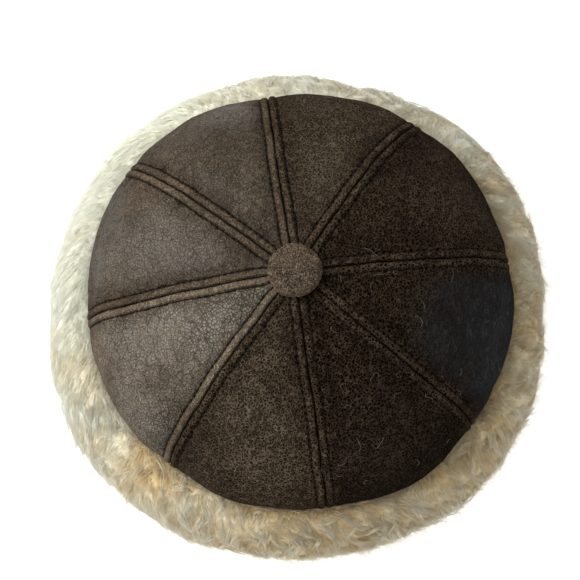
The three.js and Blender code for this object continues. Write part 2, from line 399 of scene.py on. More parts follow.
RIB_COLUMNS = np.array([0.01, 0.35, 0.75, 1.15, 1.6, 2.05, 2.5, 2.9, 3.25, 3.55, 3.8, 4.05, 4.35, 4.8, 5.6])
FIELD_SHARES = np.array([0.12, 0.27, 0.44, 0.62, 0.81])
INNER_COLUMNS = 7
SHOWN_ROWS = 190
HIDDEN_ROWS = 9
SHOWN_DOWN_TO = 54.0

# The least shade of the leather on the ribs: they are rubbed on the dark panels too, and are lifted above
# the painted shade that darkens those panels.

RIB_SHADE = 0.72


def crown_along(height):
    """Distance along the crown's section at a height."""
    return np.interp(-height, -CROWN["height"], CROWN["along"])


def panel_rows():
    """Distances of a panel's rows from the middle, close together where the leather shows."""
    shown = crown_along(SHOWN_DOWN_TO)
    return np.r_[np.linspace(0, shown, SHOWN_ROWS), np.linspace(shown, CROWN_LENGTH, HIDDEN_ROWS)[1:]]


def panel_columns(panel, along, crown):
    """Distances from the nearer seam, close together on the rib and wide apart on the open leather."""
    half = panel_width(panel, along)[:, None] / 2
    reach = rib_reach(panel, along, crown)[:, None]
    stitch = crown.rib_width / MM
    on_rib = np.minimum(RIB_COLUMNS, stitch) * reach / stitch
    squeeze = np.minimum(1, (half - reach) * 0.6 / (RIB_COLUMNS[-1] - stitch))
    offs = on_rib + np.maximum(RIB_COLUMNS - stitch, 0) * squeeze
    offs = np.maximum.accumulate(offs + 1e-4 * np.arange(offs.shape[1]), axis=1)
    field = offs[:, -1:] + (half - offs[:, -1:]) * FIELD_SHARES
    return np.hstack([offs, field]), half


def panel_grid(panel, crown):
    """Outer face of a panel with its seam distances, and its inner face with fewer columns."""
    along = panel_rows()
    left, half = panel_columns(panel, along, crown)
    width = 2 * half
    off = np.hstack([left, half, left[:, ::-1]])
    across = np.hstack([left / width, np.full_like(half, 0.5), 1 - left[:, ::-1] / width])
    rows = along[:, None]
    first = seam_relief(panel, 0, off, rows, crown)
    last = seam_relief(panel, 1, off, rows, crown)
    share = smooth(across, 0.42, 0.58)
    relief = first * (1 - share) + last * share
    flat = crown_points(panel, across, rows, 0.0)
    outer = crown_points(panel, across, rows, relief + panel_sag(panel, flat, off, rows, crown))
    inner_across = np.linspace(across[:, 0], across[:, -1], INNER_COLUMNS, axis=1)
    inner = crown_points(panel, inner_across, rows, -LEATHER)
    rib = np.clip(relief / (crown.rib_lift / MM), -1, 1)
    return outer, inner, off, rib


def shell_faces(rows, outer_columns, inner_columns):
    """Faces of a closed shell between two grids with the same rows.

    They are the two grids' own, two strips at the sides and two caps at the ends.
    """
    outer = np.arange(rows * outer_columns).reshape(rows, outer_columns)
    inner = outer.size + np.arange(rows * inner_columns).reshape(rows, inner_columns)

    def quads(a, b, c, d):
        return np.stack([a.ravel(), b.ravel(), c.ravel(), d.ravel()], -1)

    return [
        quads(outer[:-1, :-1], outer[1:, :-1], outer[1:, 1:], outer[:-1, 1:]),
        quads(inner[:-1, :-1], inner[:-1, 1:], inner[1:, 1:], inner[1:, :-1]),
        quads(outer[:-1, 0], inner[:-1, 0], inner[1:, 0], outer[1:, 0]),
        quads(outer[:-1, -1], outer[1:, -1], inner[1:, -1], inner[:-1, -1]),
        np.r_[outer[0], inner[0, ::-1]][None],
        np.r_[outer[-1, ::-1], inner[-1]][None],
    ]


# The cuff


def cuff_section():
    """The cuff's closed section, with its wool faces rounded by averaging each point with its neighbours."""
    rows = np.r_[CUFF_ROWS, CUFF_ROWS[:1]]
    coarse = arc_lengths(rows["radius"], rows["height"])
    along = np.linspace(0, coarse[-1], 361)[:-1]
    radius, height, wool = (np.interp(along, coarse, rows[name]) for name in ("radius", "height", "wool"))
    weights = np.exp(-((np.arange(-6, 7) / 3.5) ** 2))
    weights /= weights.sum()

    def rounded(values):
        return sum(w * np.roll(values, k - 6) for k, w in enumerate(weights))

    soft = smooth(wool, 0.5, 4)
    height = height + (rounded(height) - height) * soft
    radius = radius + (rounded(radius) - radius) * soft
    out, up = outline_normals(radius, height, closed=True)
    return {"along": along, "radius": radius, "height": height, "wool": wool, "out": out, "up": up}


CUFF = cuff_section()
CUFF_LENGTH = CUFF["along"][-1] + CUFF["along"][1]


def cuff_at(along, *names):
    """Named curves of the cuff's section at distances along it."""
    return [np.interp(along % CUFF_LENGTH, CUFF["along"], CUFF[name], period=CUFF_LENGTH) for name in names]


def around_cuff(name, azimuth):
    """A column of the table round the cuff, at azimuths in degrees."""
    return np.interp(azimuth % 360, CUFF_ROUND["azimuth"], CUFF_ROUND[name])


def roughness(azimuth):
    """How uneven the wool lies: least where it gets little painted shade, as on the combed left side."""
    return 0.3 + 0.7 * smooth(around_cuff("shaded", azimuth), 0.05, 0.45)


def golden_tint_and_painted_shade(points):
    """How golden the wool is, from the table round the cuff, patches of two sizes of waves and its lip.

    The table is partly painted warm shade on the side away from the light, and the lip, next to the
    leather's edge, carries painted shade.
    """
    azimuth = np.degrees(np.arctan2(points[..., 1], points[..., 0]))
    radius = np.hypot(points[..., 0], points[..., 1])
    patches = 0.55 * waves(points, size=38.0, seed=13, octaves=2)
    patches += 0.45 * waves(points, size=15.0, seed=14, octaves=2)
    # Painted warm shade in the wool next to the leather's edge.
    lip = smooth(points[..., 2], 52, 62) * smooth(-radius, -106, -101)
    table = around_cuff("golden", azimuth)
    spread = 0.12 + 1.9 * table * (1 - table)
    return np.clip(table + spread * patches + 0.6 * table * lip, 0, 1)


def cuff_points(azimuth, along, sunk):
    """Points of the cuff, sunk below its outer form and lumpy in the wool, and their outward normals."""
    radius, height, wool, out, up = cuff_at(along, "radius", "height", "wool", "out", "up")
    fuller = around_cuff("fuller", azimuth)
    outer = smooth(radius, 100, 115)
    plain = polar(azimuth, radius, height)
    lump = 1.1 * waves(plain, size=26.0, seed=71) * smooth(wool, 1, 6)
    lift = lump + fuller * outer * np.maximum(out, 0) - sunk
    points = polar(azimuth, radius + lift * out, height + lift * up)
    return points, polar(azimuth, out, up)


def tube_mesh(centres, radii, reference, sides, pointed):
    """Points and faces of tubes with a ring round each centre, the last one drawn to a point where pointed.

    Centres are (tube, ring, xyz). Each ring lies in the plane across the tube's direction there.
    """
    count, rings = centres.shape[:2]
    direction = unit(np.gradient(centres, axis=1))
    b = unit(np.cross(direction, reference[:, None]))
    a = np.cross(b, direction)
    turn = 2 * np.pi * np.arange(sides) / sides
    spread = a[:, :, None] * np.cos(turn)[:, None] + b[:, :, None] * np.sin(turn)[:, None]
    points = centres[:, :, None] + radii[:, :, None, None] * spread
    solid = rings - 1 if pointed else rings
    points = points[:, :solid].reshape(count, solid * sides, 3)
    ring = np.arange(sides)
    following = (ring + 1) % sides
    levels = sides * np.arange(solid - 1)[:, None]
    walls = [levels + ring, levels + following, levels + sides + following, levels + sides + ring]
    faces = [np.stack(walls, -1).reshape(-1, 4), ring[None, ::-1]]
    top = sides * (solid - 1)
    if pointed:
        points = np.concatenate([points, centres[:, -1:]], 1)
        faces.append(np.stack([top + ring, top + following, np.full(sides, solid * sides)], -1))
    else:
        faces.append((top + ring)[None])
    step = points.shape[1] * np.arange(count)[:, None, None]
    return points.reshape(-1, 3), [(step + f).reshape(-1, f.shape[-1]) for f in faces]


# Putting arrays into Blender


def add_object(name, data):
    """An object in the scene."""
    made = bpy.data.objects.new(name, data)
    bpy.context.scene.collection.objects.link(made)
    return made


def add_piece(name, points, faces, materials, replaced=(), values=None, sharp=None):
    """A mesh object at the origin from points in millimetres, that rides on the root body."""
    mesh = bpy.data.meshes.new(name)
    mesh.vertices.add(len(points))
    mesh.vertices.foreach_set("co", (points * MM).astype(np.float32).ravel())
    sizes = np.concatenate([np.full(len(f), f.shape[1]) for f in faces])
    corners = np.concatenate([f.ravel() for f in faces])
    mesh.loops.add(len(corners))
    mesh.loops.foreach_set("vertex_index", corners.astype(np.int32))
    mesh.polygons.add(len(sizes))
    mesh.polygons.foreach_set("loop_start", np.r_[0, np.cumsum(sizes)[:-1]].astype(np.int32))
    mesh.update(calc_edges=True)
    if mesh.validate():
        raise RuntimeError(f"{name} has faulty faces")
    mesh.shade_smooth()
    if sharp is not None:
        mesh.set_sharp_from_angle(angle=np.radians(sharp))
    for key, numbers in (values or {}).items():
        attribute = mesh.attributes.new(key, "FLOAT", "POINT")
        attribute.data.foreach_set("value", np.asarray(numbers, np.float32).ravel())
    for material in materials:
        mesh.materials.append(material)
    piece = add_object(name, mesh)
    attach(piece, "root")
    if replaced:
        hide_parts(*replaced)
    return piece


# Materials


# Colours that stay as they are, beside those that a user can change. Some of them are painted light:
# a blue sheen and its glints, shade deep in golden wool, and light through the tips of the wool.

REDDISH_BROWN = (0.070, 0.044, 0.032, 1)
PEBBLE_BROWN = (0.090, 0.073, 0.055, 1)
# A painted blue sheen and its painted glints: reflections drawn into the colour.
PAINTED_COOL_SHEEN = (0.029, 0.031, 0.036, 1)
PAINTED_COOL_GLINT = (0.075, 0.081, 0.090, 1)
RUBBED_COVER = (0.200, 0.108, 0.066, 1)
NAP_DUST = (0.40, 0.31, 0.22, 1)
# Painted shade deep in golden wool, beside its golden roots, and paler tips that are partly painted light.
GOLDEN_ROOTS_AND_SHADE = (0.58, 0.39, 0.15, 1)
PALE_TIPS_AND_PAINTED_LIGHT = (0.95, 0.93, 0.82, 1)


def feed(tree, node, inputs):
    """Links a node's inputs to sockets, or sets them to values."""
    for key, value in inputs.items():
        if isinstance(value, bpy.types.NodeSocket):
            tree.links.new(value, node.inputs[key])
        else:
            node.inputs[key].default_value = value


def add_node(tree, kind, inputs=None, **settings):
    """A node with its settings made and its inputs fed."""
    node = tree.nodes.new(kind)
    node.location = (180 * len(tree.nodes), 0)
    for name, value in settings.items():
        setattr(node, name, value)
    feed(tree, node, inputs or {})
    return node


def math_node(tree, operation, a, b=0.0, c=0.0, clamp=False):
    """The result of a sum on up to three values."""
    inputs = {0: a, 1: b, 2: c}
    return add_node(tree, "ShaderNodeMath", inputs, operation=operation, use_clamp=clamp).outputs[0]


def times(tree, a, b, clamp=False):
    """The product of two values."""
    return math_node(tree, "MULTIPLY", a, b, clamp=clamp)


def vector_sum(tree, operation, inputs):
    """The result of a sum on vectors."""
    return add_node(tree, "ShaderNodeVectorMath", inputs, operation=operation).outputs[0]


def remap(tree, value, low, high, to_low=0.0, to_high=1.0):
    """A value carried from one range to another, with eased ends."""
    inputs = {"Value": value, "From Min": low, "From Max": high, "To Min": to_low, "To Max": to_high}
    return add_node(tree, "ShaderNodeMapRange", inputs, interpolation_type="SMOOTHSTEP").outputs[0]


def mix_colors(tree, share, a, b, blend="MIX"):
    """One colour mixed into another."""
    inputs = {0: share, 6: a, 7: b}
    return add_node(tree, "ShaderNodeMix", inputs, data_type="RGBA", blend_type=blend).outputs[2]


def object_place(tree):
    """Where a point lies on its object."""
    return add_node(tree, "ShaderNodeTexCoord").outputs["Object"]


def noise(tree, place, scale, detail, **more):
    """Soft noise at a place. More holds the node's other inputs."""
    inputs = {"Vector": place, "Scale": scale, "Detail": detail, **more}
    return add_node(tree, "ShaderNodeTexNoise", inputs).outputs


def bump(tree, height, distance, strength=1.0):
    """A normal bent by a height."""
    inputs = {"Height": height, "Strength": strength, "Distance": distance}
    return add_node(tree, "ShaderNodeBump", inputs).outputs[0]


def opaque(color, gain=1.0):
    """A colour as four numbers."""
    return (*(gain * c for c in color), 1.0)


def new_group(name, inputs, outputs):
    """An empty node group of float sockets: its tree, the sockets it is given and its end node."""
    tree = bpy.data.node_groups.new(name, "ShaderNodeTree")
    for label, default in inputs.items():
        socket = tree.interface.new_socket(label, in_out="INPUT", socket_type="NodeSocketFloat")
        socket.default_value = default
    for label in outputs:
        tree.interface.new_socket(label, in_out="OUTPUT", socket_type="NodeSocketFloat")
    given = add_node(tree, "NodeGroupInput").outputs
    return tree, [given[label] for label in inputs], add_node(tree, "NodeGroupOutput")


def leather_grain_group():
    """Grain of worn leather: dark pits in a net of rubbed ridges, from bent cells, over a finer tooth."""
    name = "leather_grain"
    if name in bpy.data.node_groups:
        return bpy.data.node_groups[name]
    inputs = {"Cells per Metre": 600.0, "Bend": 0.8, "Ridge Width": 0.15}
    outputs = ("Pits", "Edges", "Tooth", "Height")
    tree, (per_metre, bend, ridge_width), result = new_group(name, inputs, outputs)
    place = object_place(tree)
    bending = noise(tree, place, times(tree, per_metre, 0.8), 2.0)["Color"]
    centred = vector_sum(tree, "SUBTRACT", {0: bending, 1: (0.5, 0.5, 0.5)})
    reach = math_node(tree, "DIVIDE", bend, per_metre)
    shifted = vector_sum(tree, "SCALE", {0: centred, "Scale": reach})
    bent = vector_sum(tree, "ADD", {0: place, 1: shifted})
    cells = add_node(
        tree,
        "ShaderNodeTexVoronoi",
        {"Vector": bent, "Scale": per_metre, "Randomness": 1.0},
        feature="DISTANCE_TO_EDGE",
    )
    widths = noise(tree, place, times(tree, per_metre, 0.45), 2.0)["Fac"]
    width = times(tree, ridge_width, remap(tree, widths, 0.35, 0.65, 0.75, 1.55))
    tooth = noise(tree, bent, times(tree, per_metre, 2.1), 3.0, Roughness=0.6)["Fac"]
    hollows = remap(tree, cells.outputs["Distance"], 0.0, width)
    pits = times(tree, hollows, remap(tree, tooth, 0.64, 0.44, 0.3, 1.0))
    height = math_node(tree, "ADD", times(tree, pits, -1.0), times(tree, tooth, 1.1))
    edges = math_node(tree, "SUBTRACT", 1.0, hollows)
    fine = remap(tree, tooth, 0.36, 0.64)
    feed(tree, result, {"Pits": pits, "Edges": edges, "Tooth": fine, "Height": height})
    return tree


def patches_group():
    """Soft patches, and smaller ones inside them, for stains, wear, tint, painted shade and painted sheen."""
    name = "patches"
    if name in bpy.data.node_groups:
        return bpy.data.node_groups[name]
    inputs = {"Patches per Metre": 20.0, "Offset": 0.0}
    tree, (per_metre, offset), result = new_group(name, inputs, ("Patches",))
    place = object_place(tree)
    shift = add_node(tree, "ShaderNodeCombineXYZ", {0: offset, 1: offset, 2: offset}).outputs[0]
    moved = vector_sum(tree, "ADD", {0: place, 1: shift})
    soft = noise(tree, moved, per_metre, 4.0, Roughness=0.6)["Fac"]
    feed(tree, result, {"Patches": remap(tree, soft, 0.35, 0.65)})
    return tree


def place_group(tree, group, **values):
    """The outputs of a node group placed in a material. In its inputs' names an underscore is a space."""
    inputs = {label.replace("_", " "): value for label, value in values.items()}
    return add_node(tree, "ShaderNodeGroup", inputs, node_tree=group).outputs


def patches(tree, per_metre, offset):
    """Soft patches of a size, told apart from other patches by their offset."""
    return place_group(tree, patches_group(), Patches_per_Metre=per_metre, Offset=offset)[0]


def patchy(tree, per_metre, offset, low, high):
    """A value that goes from low to high in soft patches."""
    return remap(tree, patches(tree, per_metre, offset), 0.0, 1.0, low, high)


def surface_value(tree, name):
    """A number that each point of the surface carries."""
    return add_node(tree, "ShaderNodeAttribute", attribute_name=name).outputs["Fac"]


def new_material(name):
    """A material with an empty tree, its shader and its output."""
    material = bpy.data.materials.new(name)
    material.use_nodes = True
    tree = material.node_tree
    tree.nodes.clear()
    shader = add_node(tree, "ShaderNodeBsdfPrincipled")
    add_node(tree, "ShaderNodeOutputMaterial", {"Surface": shader.outputs[0]})
    return material, tree, shader


def upright_folds(tree):
    """Fine wrinkles from the front to the back: the lines where a noise, stretched that way, is a half."""
    stretch = {"Vector": object_place(tree), "Scale": (1.0, 0.42, 1.0)}
    stretched = add_node(tree, "ShaderNodeMapping", stretch).outputs[0]
    wander = noise(tree, stretched, 400.0, 1.0, Distortion=0.8)["Fac"]
    away = math_node(tree, "ABSOLUTE", math_node(tree, "SUBTRACT", wander, 0.5))
    return remap(tree, away, 0.0, 0.05, 1.0, 0.0)


def matt_skin(tree, crown, grain, pitted, depth, crest):
    """Colour of matt leather: brown patches, a net of rubbed ridges, a worn nap, rubbed crests, dark pits."""
    brown, worn = crown.leather_color, opaque(crown.worn_color)
    base = mix_colors(tree, patches(tree, 30.0, 0.31), opaque(brown, 0.84), opaque(brown, 1.16))
    red = mix_colors(tree, remap(tree, patches(tree, 11.0, 4.2), 0.4, 1.0, 0.0, 0.6), base, REDDISH_BROWN)
    ridged = mix_colors(tree, times(tree, grain["Edges"], times(tree, pitted, 0.55)), red, worn)
    napped = mix_colors(tree, remap(tree, grain["Tooth"], 0.3, 1.0, 0.0, 0.6), ridged, worn)
    rubbed = mix_colors(tree, crest, napped, worn)
    return mix_colors(tree, depth, rubbed, opaque(brown, 0.06))


def toned(tree, skin, shade, bare):
    """A skin scaled by its panel's shade, which is partly painted light, and by stains and painted shade.

    The painted shade lies near the seams, the button and the rim. Green and blue change a little more
    than red.
    """
    stains_and_painted_shade = times(tree, remap(tree, bare, 0.0, 1.0, 0.80, 1.07), patchy(tree, 19.0, 9.1, 0.80, 1.24))
    light = times(tree, shade, stains_and_painted_shade)
    channels = {0: light, 1: math_node(tree, "POWER", light, 1.08), 2: math_node(tree, "POWER", light, 1.15)}
    tone = add_node(tree, "ShaderNodeCombineColor", channels).outputs[0]
    return mix_colors(tree, 1.0, skin, tone, blend="MULTIPLY")


def crown_leather_material(crown):
    """Worn brown leather: dark pits between rubbed ridges, and smooth, cooler pebbles parted by cracks.

    Polished is where the pebbles are, matt where the pits are. The colour holds painted light: each panel's
    shade is partly painted light from the upper left, the seam hollows and the leather near the seams, the
    button and the rim get painted shade, and towards the rim at the lower right a painted blue sheen has
    painted glints along fine folds, which are also bumps.
    """
    material, tree, shader = new_material("crown_leather_finish")
    brown = crown.leather_color
    group = leather_grain_group()
    grain = place_group(tree, group, Cells_per_Metre=700.0, Bend=0.9, Ridge_Width=0.17)
    pebbles = place_group(tree, group, Cells_per_Metre=740.0, Bend=0.7, Ridge_Width=0.14)["Edges"]
    cracks = place_group(tree, group, Cells_per_Metre=150.0, Bend=1.4, Ridge_Width=0.045)["Edges"]
    rib, pitted, shade, bare = (surface_value(tree, name) for name in ("rib", "pitted", "shade", "open"))
    zones = times(tree, patchy(tree, 13.0, 1.7, 0.4, 1.15), remap(tree, rib, 0.12, 0.5, 1.0, 0.2))
    polished = times(tree, surface_value(tree, "polish"), zones, clamp=True)
    matt = math_node(tree, "SUBTRACT", 1.0, polished)
    cracked = times(tree, cracks, remap(tree, polished, 0.1, 0.5))
    gaps = times(tree, pebbles, polished)
    depth = times(tree, grain["Pits"], pitted)
    # A painted blue sheen, a painted reflection, near the rim at the lower right, varied in patches.
    painted_sheen = times(tree, surface_value(tree, "painted_sheen"), patchy(tree, 45.0, 6.3, 0.5, 1.0))
    folds_and_painted_glints = times(tree, upright_folds(tree), painted_sheen)

    crest = times(tree, remap(tree, rib, 0.3, 0.95), patchy(tree, 190.0, 2.6, 0.25, 0.75))
    holed = matt_skin(tree, crown, grain, pitted, depth, crest)
    pebbled = mix_colors(tree, remap(tree, pebbles, 0.1, 0.9, 0.0, 0.75), PEBBLE_BROWN, opaque(brown, 0.4))
    skin = mix_colors(tree, polished, holed, pebbled)
    # Painted shade in the seam valleys and stitch dents, where the rib relief sinks below the panel.
    hollow = times(tree, remap(tree, rib, -0.08, -0.55), 0.78)
    hollow_shade_and_cracks = math_node(tree, "MAXIMUM", hollow, times(tree, cracked, 0.45))
    toned_skin = toned(tree, mix_colors(tree, hollow_shade_and_cracks, skin, opaque(brown, 0.10)), shade, bare)
    # Painted reflections: the blue sheen, and brighter glints along its fine folds.
    sheened = mix_colors(tree, times(tree, painted_sheen, 0.75), toned_skin, PAINTED_COOL_SHEEN)
    color = mix_colors(tree, times(tree, folds_and_painted_glints, 0.62), sheened, PAINTED_COOL_GLINT)

    rough = times(tree, grain["Height"], math_node(tree, "MULTIPLY_ADD", matt, 0.7, 0.3))
    smoothed = math_node(tree, "SUBTRACT", rough, times(tree, gaps, 1.1))
    cut = math_node(tree, "SUBTRACT", smoothed, times(tree, cracked, 0.8))
    height = math_node(tree, "ADD", cut, times(tree, folds_and_painted_glints, 1.2))

    dull = math_node(tree, "MAXIMUM", times(tree, depth, matt), gaps)
    buffed = times(tree, remap(tree, shade, 0.3, 1.0, 0.2, 1.0), remap(tree, bare, 0.0, 0.6, 0.25, 1.0))
    gloss = times(tree, remap(tree, polished, 0.0, 1.0, 0.01, 0.62), buffed)
    inputs = {
        "Base Color": color,
        "Roughness": remap(tree, polished, 0.0, 0.9, 0.72, 0.42),
        "Coat Weight": times(tree, gloss, remap(tree, dull, 0.1, 0.9, 1.0, 0.2)),
        "Normal": bump(tree, height, 0.7 * MM),
        "Specular IOR Level": 0.0,
        "Coat Roughness": 0.42,
    }
    feed(tree, shader, inputs)
    return material


def button_leather_material(button):
    """Napped leather over the button: a fine speckled nap, rubbed to a redder brown round its edge."""
    material, tree, shader = new_material("button_leather_finish")
    grain = place_group(tree, leather_grain_group(), Cells_per_Metre=1250.0, Bend=1.0, Ridge_Width=0.2)
    cover = button.cover_color
    base = mix_colors(tree, patches(tree, 240.0, 0.2), opaque(cover, 0.6), opaque(cover, 1.3))
    rubbed = mix_colors(tree, times(tree, surface_value(tree, "edge"), 0.9), base, RUBBED_COVER)
    dust = remap(tree, patches(tree, 1250.0, 0.7), 0.3, 1.0, 0.0, 0.85)
    dusty = mix_colors(tree, times(tree, dust, 0.9), rubbed, NAP_DUST)
    color = mix_colors(tree, times(tree, grain["Pits"], 0.85), dusty, opaque(cover, 0.12))
    normal = bump(tree, grain["Height"], 0.5 * MM)
    feed(tree, shader, {"Base Color": color, "Normal": normal, "Roughness": 0.9, "Specular IOR Level": 0.08})
    return material


def thread_material(crown):
    """Waxed thread with a fine twist."""
    material, tree, shader = new_material("thread_finish")
    thread = crown.thread_color
    color = mix_colors(tree, patches(tree, 1400.0, 0.0), opaque(thread, 0.6), opaque(thread, 1.7))
    feed(tree, shader, {"Base Color": color, "Roughness": 0.8, "Specular IOR Level": 0.1})
    return material


def fibre_material(wool):
    """Dull brown fibres, darker in patches."""
    material, tree, shader = new_material("fibre_finish")
    root = wool.root_and_shade_color
    color = mix_colors(tree, patches(tree, 60.0, 3.3), opaque(root, 0.12), opaque(root, 0.5))
    feed(tree, shader, {"Base Color": color, "Roughness": 0.8})
    return material


def wool_material(wool, name, dense):
    """Wool: golden roots, cream tips and golden patches, with painted shade and painted light.

    The root colour also serves as painted shade deep in the pile, and the tips are paler, partly as painted
    light shining through them. Dense wool, under the strands, has bumpy clumps.
    """
    material, tree, shader = new_material(name)
    if dense:
        clumps = patches(tree, 420.0, 0.4)
        along = remap(tree, clumps, 0.0, 1.0, 0.35, 0.7)
        # Painted shade in soft patches.
        shade = patches(tree, 150.0, 0.8)
        feed(tree, shader, {"Normal": bump(tree, clumps, 0.8 * MM, strength=0.35)})
    else:
        along = surface_value(tree, "tip")
        shade = surface_value(tree, "shade")
    tint = times(tree, surface_value(tree, "golden"), 0.85)
    cream = mix_colors(tree, tint, opaque(wool.tip_color), opaque(wool.golden_color))
    # The colour deep in the pile: the roots' own colour, and also painted shade. Strands darken towards it at
    # their roots, partly painted shade as well.
    deep = mix_colors(tree, tint, opaque(wool.root_and_shade_color), GOLDEN_ROOTS_AND_SHADE)
    length = mix_colors(tree, remap(tree, along, 0.0, 0.7), deep, cream)
    # Painted shade draws the colour towards the deep colour.
    shaded = mix_colors(tree, remap(tree, shade, 0.1, 0.9, 0.0, 0.85), length, deep)
    # Paler tips: partly their own colour and partly painted light shining through them.
    color = mix_colors(tree, remap(tree, along, 0.7, 1.0, 0.0, 0.5), shaded, PALE_TIPS_AND_PAINTED_LIGHT)
    feed(tree, shader, {"Base Color": color, "Roughness": 0.8, "Sheen Weight": 0.25, "Sheen Roughness": 0.5})
    return material


# Making each group of pieces


def make_crown_panels(crown, wool):
    """Eight panels, each a shell with ribs at its seams and the wool side within."""
    leather = crown_leather_material(crown)
    flesh = wool_material(wool, "crown_wool_side", dense=True)
    for panel in range(PANEL_COUNT):
        outer, inner, off, rib = panel_grid(panel, crown)
        rows, columns = outer.shape[:2]
        reach = np.hypot(outer[..., 0], outer[..., 1])
        # Open leather lies away from the seams, the button and the rim; nearer them it gets painted shade.
        bare = smooth(off, 2.5, 18) * smooth(reach, 13, 36) * (1 - 0.85 * smooth(reach, 84, 98))
        skin = PANELS[panel]
        # A painted blue sheen lies towards the rim. Under it the panel's shade, partly painted light, is
        # darker and the leather more polished. The ribs keep at least RIB_SHADE.
        painted_sheen = skin["painted_sheen"] * smooth(reach, 46, 76) * smooth(off, 3.5, 13)
        lit = skin["shade"] * (1 - 0.3 * painted_sheen)
        shade = lit + np.maximum(RIB_SHADE - lit, 0) * (1 - smooth(off, 3.4, 6.5))
        polish = skin["polish"] + 0.5 * painted_sheen
        faces = shell_faces(rows, columns, inner.shape[1])
        points = np.r_[outer.reshape(-1, 3), inner.reshape(-1, 3)]
        plain = np.zeros(inner.shape[0] * inner.shape[1])
        shown = {"rib": rib, "open": bare, "shade": shade, "polish": polish, "painted_sheen": painted_sheen}
        values = {name: np.r_[numbers.ravel(), plain] for name, numbers in shown.items()}
        values["pitted"] = np.full(len(points), skin["pitted"])
        values["golden"] = np.full(len(points), 0.3)
        piece = add_piece(
            f"leather_panel_{panel + 1}",
            points,
            faces,
            (leather, flesh),
            (f"crown_panel_{panel + 1}",),
            values,
            sharp=55,
        )
        within = np.zeros(len(piece.data.polygons), np.int32)
        first = len(faces[0])
        within[first : first + len(faces[1])] = 1
        piece.data.polygons.foreach_set("material_index", within)


def make_topstitching(crown):
    """A row of stitches along both ribs of each seam, each stitch a tube that arches out of the leather."""
    pitch = crown.stitch_pitch / MM
    near, far = 9.0, CROWN["along"][np.argmin(np.abs(CROWN["height"] - CUFF_TOP[0]))]
    starts = pitch * np.arange(np.ceil(near / pitch), np.floor(far / pitch))
    share = np.linspace(0, 1, 5)
    along = starts[:, None] + pitch * (0.07 + 0.86 * share)
    arch = -0.55 + 0.85 * np.sin(np.pi * share) ** 0.6
    centres = []
    for panel in range(PANEL_COUNT):
        width = panel_width(panel, along)
        reach = rib_reach(panel, along, crown)
        for side in (0, 1):
            across = reach / width if side == 0 else 1 - reach / width
            proud = seam_relief(panel, side, reach, along, crown) + arch
            centres.append(crown_points(panel, across, along, proud))
    centres = np.concatenate(centres)
    radii = np.broadcast_to(0.30 * np.array([0.7, 1, 1, 1, 0.7]), centres.shape[:2])
    upward = unit(centres.mean(1) - [0, 0, 40])
    points, faces = tube_mesh(centres, radii, upward, sides=5, pointed=False)
    add_piece("topstitching", points, faces, (thread_material(crown),))


def button_profile(button):
    """Section of the covered button from its foot up: shank, gathered underside, round edge and low dome."""
    radius, rise = button.radius / MM, button.rise / MM
    shank = [(0, -3.5), (4, -3.5), (4, -2.6), (1.6, -2.6), (1.6, 0.4)]
    lower = np.array([*shank, (5, 0.45), (8, 0.75), (10.2, 1.5)])
    turn = np.linspace(-0.9, np.pi / 2, 34)
    side = np.sign(turn) * np.abs(np.sin(turn))
    across = np.abs(np.cos(turn)) ** 0.62
    waist = 3.1
    climb = np.where(side < 0, 1.9 * side, (rise - waist) * np.abs(side) ** 0.9)
    upper = np.stack([radius * across, waist + climb], -1)
    upper[-1, 0] = 0
    return np.r_[lower, upper]


def make_top_button(button):
    """The covered button: its profile turned round, gathered underneath and slightly uneven on top."""
    profile = button_profile(button)
    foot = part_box("top_button")[1].z / MM - button.rise / MM
    steps, gathers = 120, 26
    turn = 2 * np.pi * np.arange(steps) / steps
    radius = profile[1:-1, 0][:, None]
    height = profile[1:-1, 1][:, None]

    def rings(radius):
        return np.stack(np.broadcast_arrays(radius * np.cos(turn), radius * np.sin(turn), height), -1)

    around = rings(radius)
    gather = 0.22 * np.sin(gathers * turn) * smooth(radius, 6, 10.5) * smooth(-height, -3.2, -1.2)
    uneven = 0.28 * waves(around, size=13.0, seed=3) * smooth(radius, 3, 8)
    ring = rings(radius + gather + uneven)
    ring[..., 2] += 0.22 * waves(around, size=9.0, seed=8, octaves=2) * smooth(height, 4, 6)
    ends = np.array([[0, 0, profile[0, 1]], [0, 0, profile[-1, 1]]])
    points = np.r_[ring.reshape(-1, 3), ends] + [*CROWN_LEAN, foot]
    rows = len(ring)
    at = np.arange(rows * steps).reshape(rows, steps)
    after = np.roll(at, -1, 1)
    walls = np.stack([at[:-1], after[:-1], after[1:], at[1:]], -1).reshape(-1, 4)
    bottom, top = rows * steps, rows * steps + 1
    cap_low = np.stack([after[0], at[0], np.full(steps, bottom)], -1)
    cap_high = np.stack([at[-1], after[-1], np.full(steps, top)], -1)
    edge = smooth(radius, 8.8, 11.2) * smooth(-height, -6.4, -2.0) * np.ones(steps)
    add_piece(
        "covered_button",
        points,
        [walls, cap_low, cap_high],
        (button_leather_material(button),),
        ("top_button",),
        {"edge": np.r_[edge.ravel(), 0, 0]},
    )


